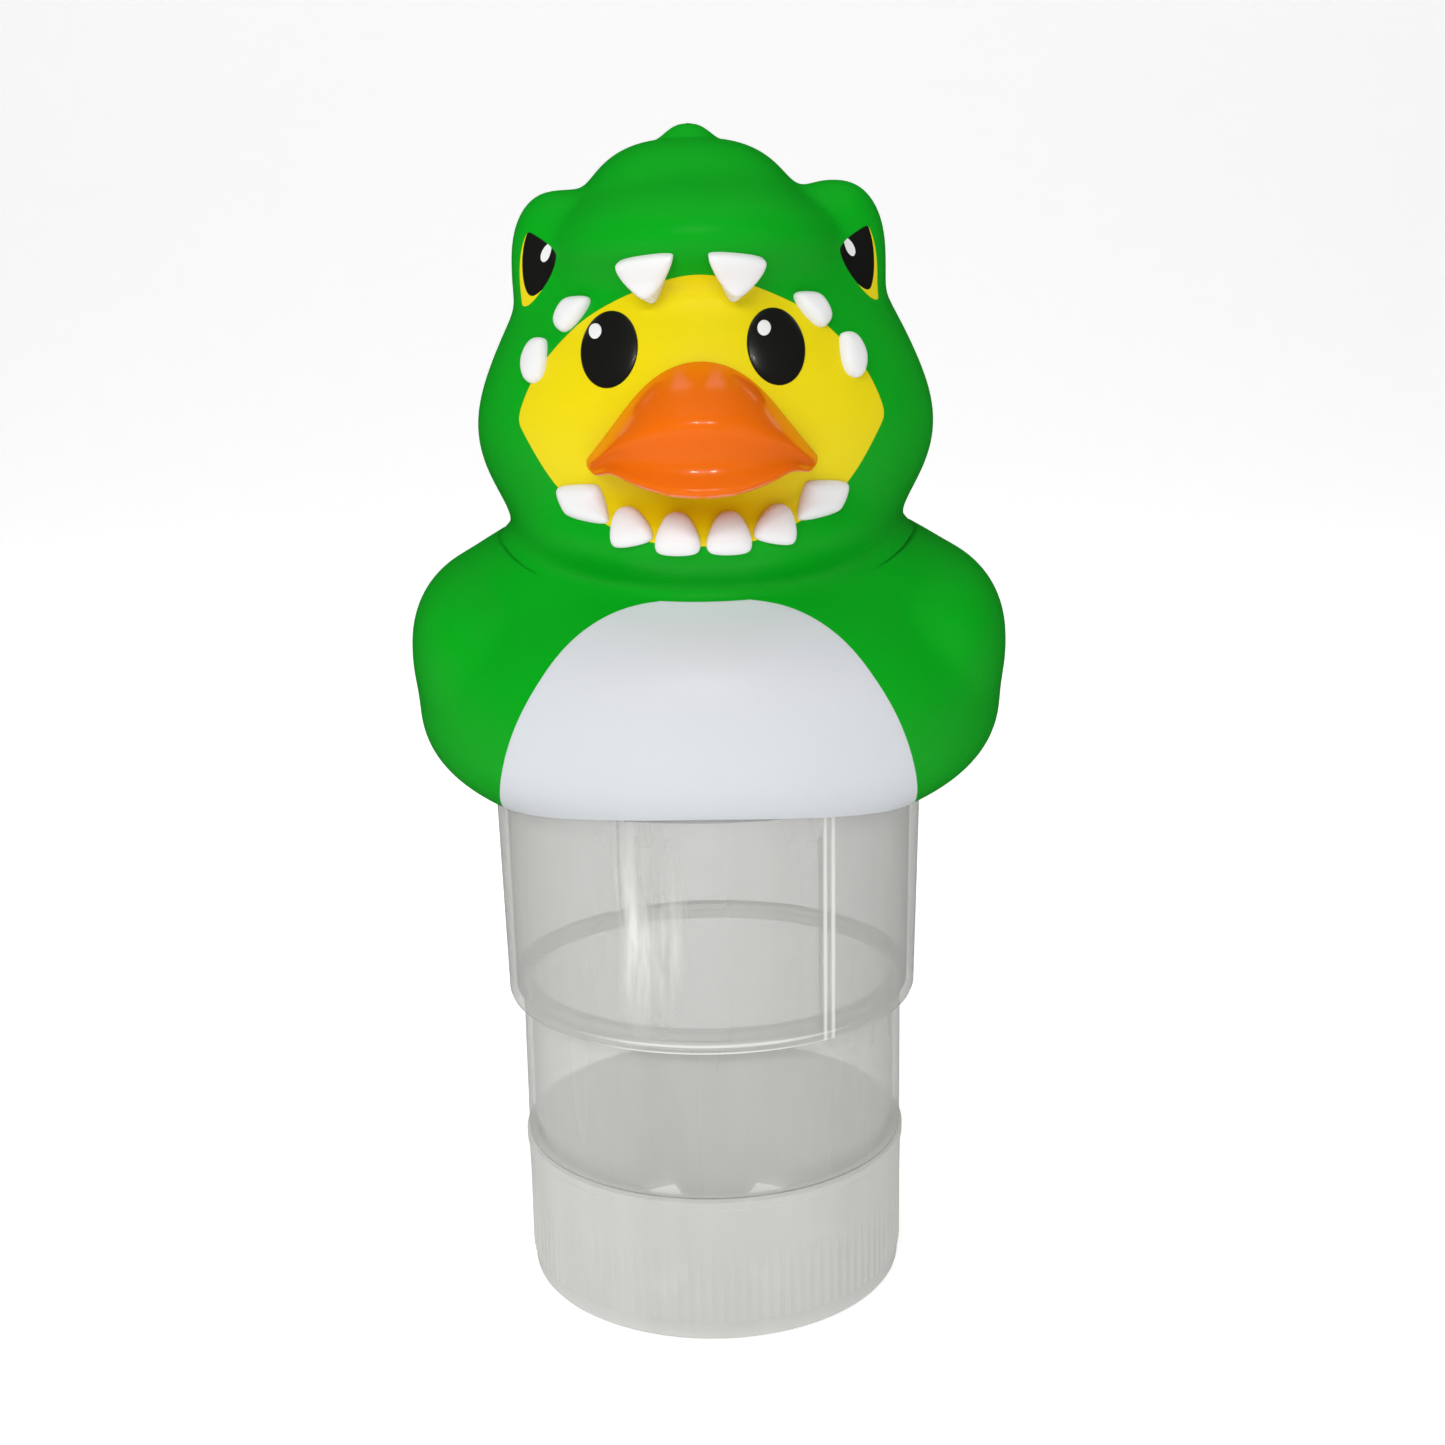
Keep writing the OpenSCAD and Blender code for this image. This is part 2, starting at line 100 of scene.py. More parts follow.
def soft_union(parts, blend):
    """How far points are outside several shapes that run together over a blend in mm."""
    return -blend * np.logaddexp.reduce([-part / blend for part in parts], axis=0)


def reach(points, form):
    """How far points are outside a whole form."""
    blobs, blend, knobs, knob_blend = form
    main = soft_union([blob_reach(points, b) for b in blobs], blend)
    return soft_union([main] + [blob_reach(points, b) for b in knobs], knob_blend)


def float_reach(points):
    """How far points are outside head and body together."""
    return soft_union([reach(points, HEAD), reach(points, BODY)], SEAM_BLEND)


def way_out(origin, ways, field, low, high, steps):
    """Distances along ways at which rays from origin leave a field."""
    for _ in range(steps):
        middle = (low + high) / 2
        out = field(origin + ways * middle[..., None]) > 0
        high = np.where(out, middle, high)
        low = np.where(out, low, middle)
    return (low + high) / 2


def skin_at(origin, ways, form, far=130.0):
    """Points of the float's skin on rays from inside a form along ways."""
    shape = ways.shape[:-1]
    first = way_out(origin, ways, lambda p: reach(p, form),
                    np.zeros(shape), np.full(shape, far), 22)
    seam_margin = 5.0
    last = way_out(origin, ways, float_reach, first - 0.1, first + seam_margin, 16)
    return origin + ways * last[..., None]


def skin_normals(points):
    """Outward directions of the float's skin at points on it."""
    step = 0.05
    parts = []
    for axis in range(3):
        d = np.zeros(3)
        d[axis] = step
        parts.append(float_reach(points + d) - float_reach(points - d))
    n = np.stack(parts, -1)
    return n / np.linalg.norm(n, axis=-1, keepdims=True)


def unit(v):
    """Vectors brought to length one."""
    return v / np.linalg.norm(v, axis=-1, keepdims=True)


def slerp(a, b, t):
    """Directions a share t of the way from a to b."""
    w = np.arccos(np.clip((a * b).sum(-1, keepdims=True), -1, 1))
    return (np.sin((1 - t) * w) * a + np.sin(t * w) * b) / np.sin(w)


# ---- outlines ----


def rounded(points, passes=3):
    """Closed outline with its corners cut."""
    p = np.array(points, float)
    for _ in range(passes):
        q = np.roll(p, -1, axis=0)
        p = np.stack((p * 0.75 + q * 0.25, p * 0.25 + q * 0.75), 1).reshape(-1, 2)
    return p


def mirrored(half):
    """Closed outline from its right half, listed from bottom to top."""
    return half + [(-x, z) for x, z in reversed(half) if x > 0]


def placed(shape, centre, side=1, size=(1, 1), turn=0.0):
    """Outline of a shape sized, turned, mirrored for side = -1 and moved to centre."""
    p = rounded(np.array(shape) * size)
    c, s = math.cos(math.radians(turn)), math.sin(math.radians(turn))
    return np.stack((centre[0] + side * (p[:, 0] * c - p[:, 1] * s),
                     centre[1] + p[:, 0] * s + p[:, 1] * c), -1)


def oval(centre, radii, tilt=0.0, count=64):
    """Outline of an ellipse tilted by degrees."""
    t = np.linspace(0, 2 * math.pi, count, endpoint=False)
    x, z = radii[0] * np.cos(t), radii[1] * np.sin(t)
    c, s = math.cos(math.radians(tilt)), math.sin(math.radians(tilt))
    return np.stack((centre[0] + x * c - z * s, centre[1] + x * s + z * c), -1)


def outline_distance(points, outline):
    """Distance from flat points to a closed outline, negative inside."""
    low, high = outline.min(0) - WELL_OUTSIDE, outline.max(0) + WELL_OUTSIDE
    near = np.all((points > low) & (points < high), axis=1)
    result = np.full(len(points), WELL_OUTSIDE)
    p = points[near]
    best = np.full(len(p), 1e9)
    inside = np.zeros(len(p), bool)
    for a, b in zip(outline, np.roll(outline, -1, axis=0)):
        ab = b - a
        t = np.clip(((p - a) @ ab) / max(ab @ ab, 1e-12), 0, 1)
        best = np.minimum(best, np.linalg.norm(p - a - t[:, None] * ab, axis=1))
        crosses = (a[1] > p[:, 1]) != (b[1] > p[:, 1])
        x = a[0] + (p[:, 1] - a[1]) * ab[0] / (ab[1] if ab[1] else 1e-12)
        inside ^= crosses & (p[:, 0] < x)
    result[near] = np.where(inside, -best, best)
    return result


# ---- meshes ----


class Skin:
    """Part of the float's skin as triangles."""

    def __init__(self, points, faces):
        self.points, self.faces = points, faces

    def split(self, value):
        """Cuts along value = 0 and returns the skins inside (value < 0) and outside."""
        tiny = 1e-6
        value = np.where(np.abs(value) < tiny, tiny, value)
        extra, made = [], {}
        sides = (value[self.faces] < 0).sum(1)
        inside = [self.faces[sides == 3]]
        outside = [self.faces[sides == 0]]
        first_new = len(self.points)

        def cut(a, b):
            key = (min(a, b), max(a, b))
            if key not in made:
                t = value[a] / (value[a] - value[b])
                made[key] = first_new + len(extra)
                extra.append(self.points[a] * (1 - t) + self.points[b] * t)
            return made[key]

        new_in, new_out = [], []
        for face in self.faces[(sides == 1) | (sides == 2)]:
            neg = value[face] < 0
            lone = int(np.where(neg == (neg.sum() == 1))[0][0])
            a, b, c = (int(face[(lone + k) % 3]) for k in range(3))
            ab, ac = cut(a, b), cut(a, c)
            tip, rest = (new_in, new_out) if neg[lone] else (new_out, new_in)
            tip.append((a, ab, ac))
            rest += [(ab, b, c), (ab, c, ac)]
        all_points = np.concatenate((self.points, np.array(extra).reshape(-1, 3)))
        result = []
        for kept, new in ((inside, new_in), (outside, new_out)):
            faces = np.concatenate(kept + ([np.array(new)] if new else []))
            used, faces = np.unique(faces, return_inverse=True)
            result.append(Skin(all_points[used], faces.reshape(-1, 3)))
        return result

    def closed(self, thickness):
        """Points, faces and face-corner normals of the skin with an inner side and walls."""
        n = skin_normals(self.points)
        inner = self.points - n * thickness
        count = len(self.points)
        edges = {}
        for k in range(3):
            for a, b in zip(self.faces[:, k], self.faces[:, (k + 1) % 3]):
                edges[(a, b)] = edges.get((a, b), 0) + 1
        rim = [(a, b) for a, b in edges if (b, a) not in edges]
        walls = [(b, a, a + count, b + count) for a, b in rim]
        points = np.concatenate((self.points, inner))
        faces = [tuple(f) for f in self.faces]
        faces += [tuple(f[::-1] + count) for f in self.faces]
        corner = [n[i] for f in self.faces for i in f]
        corner += [-n[i] for f in self.faces for i in f[::-1]]
        for a, b, c, d in walls:
            flat = unit(np.cross(points[b] - points[a], points[d] - points[a]))
            corner += [flat] * 4
        return points, faces + walls, corner


def make_piece(name, points, faces, finish, body, nodes, corner=None, sharp=40.0):
    """Adds a mesh piece, given in mm, that rides on a body and stands for CAD nodes."""
    mesh = bpy.data.meshes.new(name)
    mesh.from_pydata([tuple(float(c) * MM for c in p) for p in points], [],
                     [tuple(int(i) for i in f) for f in faces])
    if mesh.validate():
        raise RuntimeError(f"{name} has bad faces")
    mesh.shade_smooth()
    if corner is None:
        mesh.set_sharp_from_angle(angle=math.radians(sharp))
    else:
        mesh.normals_split_custom_set([tuple(float(c) for c in n) for n in corner])
    mesh.materials.append(finish)
    obj = bpy.data.objects.new(name, mesh)
    bpy.context.scene.collection.objects.link(obj)
    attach(obj, body)
    if nodes:
        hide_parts(*nodes)
    return obj


def skin_piece(name, skin, thickness, finish, nodes):
    """Adds a part of the float's skin, thickened inward."""
    points, faces, corner = skin.closed(thickness)
    return make_piece(name, points, faces, finish, FLOAT, nodes, corner)


def grid_faces(rows, columns, wrap):
    """Quads of a grid of points, row by row."""
    faces = []
    for j in range(rows - 1):
        for i in range(columns if wrap else columns - 1):
            k = (i + 1) % columns
            faces.append((j * columns + i, j * columns + k,
                          (j + 1) * columns + k, (j + 1) * columns + i))
    return faces


def join(parts):
    """One point list and face list from several."""
    points, faces, start = [], [], 0
    for p, f in parts:
        points.append(np.asarray(p, float))
        faces += [tuple(i + start for i in face) for face in f]
        start += len(p)
    return np.concatenate(points), faces


def front_of_head(flat):
    """Points and normals of the head's front at flat x, z places."""
    start = np.stack((flat[:, 0], np.zeros(len(flat)), flat[:, 1]), -1)
    ways = np.tile((0.0, -1.0, 0.0), (len(flat), 1))
    p = skin_at(start, ways, HEAD, 100.0)
    return p, skin_normals(p)


def dome(outline, middle, place, height, profile, rings=20, base=0.0, sink=0.8):
    """Closed bump on a skin over a flat outline: a domed top and a sunk underside."""
    outline = np.asarray(outline, float)
    middle = np.asarray(middle, float)
    count = len(outline)
    share = np.sin(np.linspace(0, math.pi / 2, rings + 1))[1:]
    flat = [middle[None]] + [middle + (outline - middle) * s for s in share]
    radius = np.concatenate(([0.0], np.repeat(share, count)))
    p, n = place(np.concatenate(flat))
    top = p + n * (base + height * profile(radius))[:, None]
    low = p[-count:] - n[-count:] * sink
    points = np.concatenate((top, low))
    faces = [(0, 1 + i, 1 + (i + 1) % count) for i in range(count)]
    faces += [tuple(v + 1 for v in f[::-1]) for f in grid_faces(rings + 1, count, True)]
    faces.append(tuple(range(1 + rings * count, 1 + (rings + 1) * count)))
    flipped = np.cross(points[faces[0][1]] - points[0], points[faces[0][2]] - points[0]) @ n[0] < 0
    return points, [f[::-1] for f in faces] if flipped else faces


# ---- finishes ----


def set_value(node, name, value):
    """Sets one input of a shader node."""
    node.inputs[name].default_value = value


def new_material(name):
    """A material, its nodes and links, its plastic shader and the piece's own coordinates."""
    m = bpy.data.materials.new(name)
    m.use_nodes = True
    nodes, links = m.node_tree.nodes, m.node_tree.links
    place = nodes.new("ShaderNodeTexCoord").outputs["Object"]
    return m, nodes, links, nodes["Principled BSDF"], place


def noise(nodes, links, vector, scale, detail):
    """Strength of a cloudy pattern along a vector."""
    texture = nodes.new("ShaderNodeTexNoise")
    set_value(texture, "Scale", scale)
    set_value(texture, "Detail", detail)
    links.new(vector, texture.inputs["Vector"])
    return texture.outputs["Fac"]


def spread(nodes, links, value, low, high, start=0.3, end=0.7):
    """A value between start and end brought to between low and high."""
    node = nodes.new("ShaderNodeMapRange")
    for key, number in (("From Min", start), ("From Max", end), ("To Min", low), ("To Max", high)):
        set_value(node, key, number)
    links.new(value, node.inputs["Value"])
    return node.outputs["Result"]


def grain_relief(nodes, links, shader, value, strength):
    """Fine surface grain on a shader."""
    relief = nodes.new("ShaderNodeBump")
    set_value(relief, "Strength", strength)
    set_value(relief, "Distance", 0.0002)
    links.new(value, relief.inputs["Height"])
    links.new(relief.outputs["Normal"], shader.inputs["Normal"])


def two_tone(nodes, links, shader, factor, dark, light):
    """Mottled base colour from a dark and a light shade."""
    shade = nodes.new("ShaderNodeMix")
    shade.data_type = "RGBA"
    for socket, colour in (("A", dark), ("B", light)):
        set_value(shade, socket, tuple(min(1, c) for c in colour) + (1,))
    links.new(factor, shade.inputs["Factor"])
    links.new(shade.outputs["Result"], shader.inputs["Base Color"])


def solid_plastic(name, colour, roughness, grain, bump, uneven=0.04, coat=0.0, soft=0.0,
                  tint=0.06, gloss=0.5):
    """Moulded or painted plastic: mottled colour, uneven roughness and a fine surface grain."""
    m, nodes, links, shader, place = new_material(name)
    cloud = noise(nodes, links, place, 28.0, 4.0)
    two_tone(nodes, links, shader, cloud, [c * (1 - tint) for c in colour],
             [c * (1 + tint) + tint * 0.02 for c in colour])
    links.new(spread(nodes, links, cloud, roughness - uneven, roughness + uneven),
              shader.inputs["Roughness"])
    grain_relief(nodes, links, shader, noise(nodes, links, place, grain, 3.0), bump)
    set_value(shader, "IOR", 1.5)
    set_value(shader, "Specular IOR Level", gloss)
    if coat:
        set_value(shader, "Coat Weight", coat)
        set_value(shader, "Coat Roughness", 0.06)
    if soft:
        set_value(shader, "Subsurface Weight", soft)
        set_value(shader, "Subsurface Radius", (0.004, 0.004, 0.003))
        set_value(shader, "Subsurface Scale", 1.0)
    return m


def multiply_add(nodes, links, a, factor, b):
    """a times factor plus b, kept between 0 and 1; each a number or a node's output."""
    node = nodes.new("ShaderNodeMath")
    node.operation = "MULTIPLY_ADD"
    node.use_clamp = True
    for socket, value in zip(node.inputs, (a, factor, b)):
        if isinstance(value, float):
            socket.default_value = value
        else:
            links.new(value, socket)
    return node.outputs["Value"]


def streak_and_highlight_cover(nodes, links, place, streaks, marks_and_highlights):
    """How strongly the whitish streak and painted highlights, each as (centre, radii, mottled) in
    mm, cover each spot.
    """
    total = 0.0
    for centre, radii, mottled in marks_and_highlights:
        patch = nodes.new("ShaderNodeMapping")
        set_value(patch, "Scale", tuple(1 / (r * MM) for r in radii))
        set_value(patch, "Location", tuple(-c / r for c, r in zip(centre, radii)))
        links.new(place, patch.inputs["Vector"])
        ball = nodes.new("ShaderNodeTexGradient")
        ball.gradient_type = "SPHERICAL"
        links.new(patch.outputs["Vector"], ball.inputs["Vector"])
        strength = 1.0
        if mottled:
            strength = spread(nodes, links, noise(nodes, links, streaks, 160.0, 4.0),
                              0.0, 1.0, 0.42, 0.6)
        inside = spread(nodes, links, ball.outputs["Fac"], 0.0, 1.0, 0.0, 0.6)
        total = multiply_add(nodes, links, inside, strength, total)
    return total


def clear_plastic(name, clear, shade, roughness, milk, marks_and_highlights=()):
    """Natural polypropylene: see-through, milky, streaked along its height, with a cloudy streak
    and painted highlights where given.
    """
    m, nodes, links, shader, place = new_material(name)
    stretch = nodes.new("ShaderNodeMapping")
    set_value(stretch, "Scale", (1.0, 1.0, 0.14))
    links.new(place, stretch.inputs["Vector"])
    streaks = stretch.outputs["Vector"]
    flow = noise(nodes, links, streaks, 60.0, 4.0)
    links.new(spread(nodes, links, flow, roughness - 0.03, roughness + 0.05),
              shader.inputs["Roughness"])
    grain_relief(nodes, links, shader, noise(nodes, links, place, 900.0, 2.0), 0.1)
    edge = nodes.new("ShaderNodeLayerWeight")
    set_value(edge, "Blend", 0.3)
    cover = multiply_add(nodes, links, edge.outputs["Facing"], 0.4,
                         spread(nodes, links, flow, milk - 0.03, milk + 0.04))
    factor, light = flow, [c * shade * 1.06 for c in clear]
    # the sleeve's streak and the painted highlights on the rib, the lip and the tube's rim make
    # the plastic lighter and more opaque
    if marks_and_highlights:
        factor, light = streak_and_highlight_cover(nodes, links, place, streaks, marks_and_highlights), [c * 1.15 for c in clear]
        cover = multiply_add(nodes, links, factor, 0.45, cover)
    two_tone(nodes, links, shader, factor, [c * shade for c in clear], light)
    links.new(cover, shader.inputs["Alpha"])
    set_value(shader, "IOR", 1.45)
    return m


# the cloudy streak, and painted highlights along the two edges of the guide rib and the two edges
# of the lip
SLEEVE_STREAK_AND_HIGHLIGHTS = (
    ((-13, -45, 94), (9, 25, 26), True),
    ((23.5, -39.5, 93), (0.6, 5, 60), False),
    ((25.2, -38.5, 93), (0.6, 5, 60), False),
    ((0, -46, 67), (45, 14, 0.5), False),
    ((0, -46, 68.8), (45, 14, 0.5), False),
)
# painted highlight along the tube's rim at the back
TUBE_RIM_HIGHLIGHT = (((0, 44, 70.8), (45, 14, 0.6), False),)
# solid finishes: colour, roughness, grain, depth of the grain and what else differs
SOLID = {
    "green_vinyl": ("green", 0.42, 1400, 0.12, {"gloss": 0.12}),
    "yellow_vinyl": ("yellow", 0.45, 1400, 0.12, {"gloss": 0.2}),
    "orange_gloss": ("orange", 0.26, 900, 0.05, {"uneven": 0.03, "coat": 0.35, "gloss": 0.3}),
    "white_vinyl": ("belly", 0.42, 1400, 0.1, {"soft": 0.1, "tint": 0.02}),
    "tooth_white": ("tooth", 0.36, 1200, 0.08, {"tint": 0.02, "gloss": 0.3}),
    "black_paint": ("black", 0.33, 1100, 0.1, {"uneven": 0.05, "coat": 0.1}),
    "white_paint": ("tooth", 0.4, 1200, 0.05, {"uneven": 0.03, "tint": 0.02}),
    "grey_socket": ("belly", 0.45, 1000, 0.1, {"tint": 0.03}),
    "plug_rubber": ("black", 0.7, 900, 0.3, {"uneven": 0.05}),
}
# clear finishes: shade, roughness, milkiness, and the streak and painted highlights
CLEAR = {
    "clear_sleeve": (0.84, 0.22, 0.34, SLEEVE_STREAK_AND_HIGHLIGHTS),
    "clear_tube": (1.0, 0.26, 0.36, TUBE_RIM_HIGHLIGHT),
    "clear_cap": (1.0, 0.4, 0.6),
    "clear_disc": (1.0, 0.4, 0.5),
}
FINISHES = {}


def finish(name):
    """The named finish, made when first asked for."""
    if name not in FINISHES:
        look = bpy.context.scene.dispenser_finishes
        if name in CLEAR:
            FINISHES[name] = clear_plastic(name, tuple(look.clear), *CLEAR[name])
        else:
            colour, roughness, grain, bump, more = SOLID[name]
            FINISHES[name] = solid_plastic(name, tuple(getattr(look, colour)), roughness,
                                           grain, bump, **more)
    return FINISHES[name]


def refinish(node, name):
    """Gives a carried-over CAD node a better material."""
    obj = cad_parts[node]
    if not obj.material_slots:
        obj.data.materials.append(finish(name))
    for slot in obj.material_slots:
        slot.material = finish(name)


# ---- float pieces ----

MOUTH = rounded(mirrored([
    (4.5, 172), (12, 173), (19, 175.8), (26, 179.8), (30.2, 184), (35.6, 193.2), (36.5, 195.4),
    (35.6, 198.6), (32.6, 204.6), (27.5, 210.5), (21, 216), (9.4, 221), (0, 223),
]))
BELLY = rounded(mirrored([
    (44, 93), (44, 106), (43.5, 116), (42, 124.5), (39.2, 133.8), (35, 142.3), (28.5, 151.4),
    (20.7, 157.2), (12, 160.2), (0, 160.9),
]))
# painted eye of the hood on the right mound, across and up
HOOD_EYE = {
    "rim": rounded([(1.6, 225.4), (4.6, 221.5), (8.4, 218), (11.6, 217.5), (12.6, 218.4),
                    (12.4, 225.5), (10.6, 232), (9.4, 232.4), (1.2, 228), (0.4, 227.4)]),
    "pupil": rounded([(1.4, 225.3), (4.4, 221.3), (8.2, 219.2), (10.7, 220.6), (11.4, 225.5),
                      (10.4, 232.2), (9.4, 232.7), (1.2, 228.3), (0.2, 227.6)]),
    "glint": oval((4.4, 228), (1.2, 2.1), 35, 32),
}
# teeth: shapes round their middle on the side at +X
FANG = [(0, -4.8), (3.2, -2), (5.8, 1.8), (5.2, 3.2), (-4.9, 4.2), (-5.6, 3), (-3, -2)]
GUMDROP = [(-0.38, -0.52), (0.38, -0.52), (0.54, -0.34), (0.45, 0.1), (0.2, 0.54), (-0.2, 0.54),
           (-0.45, 0.1), (-0.54, -0.34)]
CORNER_TOOTH = [(-3.9, 3.1), (-2.6, 3.9), (4.4, 3.3), (5.4, 2.1), (4, -1.9), (2.6, -3),
                (-4.6, -3.9), (-5.6, -2.8)]
UPPER_TOOTH = [(-3.9, 3.3), (-2, 3.6), (1.2, 3.2), (3.5, -0.6), (3.3, -2.6), (1.2, -3.7),
               (-1.6, -1.4), (-3.9, 1.8)]
SIDE_TOOTH = [(-2.7, 3.4), (-1.9, 4.4), (0.5, 4.2), (2.5, 0.6), (2.6, -2.4), (1.6, -4.5),
              (-0.6, -4.3), (-2.3, -2.2)]
# hood eye outlines only cut the skin this far out from the middle
HOOD_EYE_FROM = 20
# the duck's eyes, fangs and upper teeth sit a little to one side, and so do the spikes
FACE_LEAN = -1.4
HOOD_LEAN = -1.7
# the duck's eyes: place at +X across and up, radii, tilt in degrees; glint from the eye's middle
DUCK_EYE = ((16.0, 209.0), (5.6, 7.3), 10)
DUCK_GLINT = ((-2.4, 3.2), (1.3, 1.5))
# spikes down the hood's back: count, angle of the first over the horizon, step in degrees
SPIKES, FIRST_SPIKE, SPIKE_STEP = 5, 88, 21
# teeth as shape, place across and up, width, length and turn in degrees
UPPER_TEETH = ((UPPER_TOOTH, 23.6, 215.7, 1, 1, 0), (SIDE_TOOTH, 31.2, 207, 1, 1, 0))
LOWER_TEETH = ((GUMDROP, 4.9, 174.2, 8.5, 7.4, 0), (GUMDROP, 14.1, 175.5, 8.0, 6.9, -12),
               (CORNER_TOOTH, 23.5, 179.6, 1, 1, 0))

# skins of head and body, kept once cut
WORK = {}


def crease_ring(count):
    """Points of the skin along the crease where head and body are equally wide."""
    t = np.linspace(0, 2 * math.pi, count, endpoint=False)
    ways = np.stack((np.cos(t), np.sin(t), 0 * t), -1)
    low, high = np.full(count, CREASE_LOW), np.full(count, CREASE_HIGH)
    for _ in range(18):
        z = (low + high) / 2
        start = np.stack((0 * z, 0 * z, z), -1)
        wide = [way_out(start, ways, lambda p: reach(p, form), 0 * z, 0 * z + 80, 18)
                for form in (HEAD, BODY)]
        high = np.where(wide[0] > wide[1], z, high)
        low = np.where(wide[0] > wide[1], low, z)
    corner = start + ways * wide[1][:, None]
    return skin_at(HEAD_CENTRE, unit(corner - HEAD_CENTRE), HEAD)


def triangles(quads):
    """Two triangles from each quad."""
    q = np.array(quads)
    return np.concatenate((q[:, [0, 1, 2]], q[:, [0, 2, 3]]))


def head_skins():
    """Hood, face and hood eye parts of the head's skin, cut apart along their outlines."""
    if "head" in WORK:
        return WORK["head"]
    around, down = ((400, 240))
    rim = crease_ring(around)
    low = unit(rim - HEAD_CENTRE)
    t = np.linspace(0, 1, down + 1)[1:, None, None]
    ways = slerp(np.tile((0.0, 0.0, 1.0), (1, around, 1)), low[None], t)
    points = skin_at(HEAD_CENTRE, ways, HEAD)
    crown = skin_at(HEAD_CENTRE, np.array([(0.0, 0.0, 1.0)]), HEAD)
    flat = np.concatenate((crown, points.reshape(-1, 3)))
    quads = [tuple(i + 1 for i in f[::-1]) for f in grid_faces(down, around, True)]
    cap = np.array([(0, 1 + i, 1 + (i + 1) % around) for i in range(around)])
    skin = Skin(flat, np.concatenate((cap, triangles(quads))))
    p = skin.points
    value = np.where(p[:, 1] < 0, outline_distance(p[:, [0, 2]], MOUTH), WELL_OUTSIDE)
    parts = {}
    parts["face"], parts["hood"] = skin.split(value)
    for side, label in ((1, "right"), (-1, "left")):
        out, across = eye_axes(side)
        around_it = "hood"
        for layer in ("rim", "pupil", "glint"):
            p = parts[around_it].points
            value = outline_distance(np.stack((p @ across, p[:, 2]), -1), HOOD_EYE[layer])
            value = np.where(p @ out > HOOD_EYE_FROM, value, WELL_OUTSIDE)
            inner = f"{label}_{layer}"
            parts[inner], parts[around_it] = parts[around_it].split(value)
            around_it = inner
    WORK["head"] = parts
    return parts


def eye_axes(side):
    """Outward and backward directions of a hood eye."""
    turn = math.radians(50)
    out = np.array((side * math.sin(turn), -math.cos(turn), 0.0))
    across = np.array((side * math.cos(turn), math.sin(turn), 0.0))
    return out, across


def body_skins():
    """Body and belly parts of the body's skin."""
    if "body" in WORK:
        return WORK["body"]
    around, down = ((440, 200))
    top = crease_ring(around)
    t = np.linspace(0, 2 * math.pi, around, endpoint=False)
    start = np.stack((HOLE_R * np.cos(t), HOLE_R * np.sin(t), np.full(around, BODY_CENTRE[2])), -1)
    hole = skin_at(start, np.tile((0.0, 0.0, -1.0), (around, 1)), BODY, 60.0)
    a, b = unit(top - BODY_CENTRE), unit(hole - BODY_CENTRE)
    s = np.linspace(0, 1, down + 1)[:, None, None]
    ways = slerp(a[None], b[None], s)
    points = skin_at(BODY_CENTRE, ways, BODY)
    points[0], points[-1] = top, hole
    quads = [f[::-1] for f in grid_faces(down + 1, around, True)]
    skin = Skin(points.reshape(-1, 3), triangles(quads))
    p = skin.points
    value = np.where(p[:, 1] < 0, outline_distance(p[:, [0, 2]], BELLY), WELL_OUTSIDE)
    belly, body = skin.split(value)
    WORK["body"] = {"belly": belly, "body": body}
    return WORK["body"]


def pillow(power):
    """Edge-rounded height profile."""
    return lambda r: np.sqrt(np.maximum(0, 1 - r ** power))


def bell(r):
    """Height profile that runs smoothly into the skin."""
    return (1 + np.cos(math.pi * np.clip(r, 0, 1))) / 2


def nub(r):
    """Height profile that runs into the skin, with a broad round top."""
    return bell(r ** 1.3)


def smoothed(values, passes):
    """A row of numbers evened out between its ends."""
    for _ in range(passes):
        values[1:-1] = (values[:-2] + 2 * values[1:-1] + values[2:]) / 4
    return values


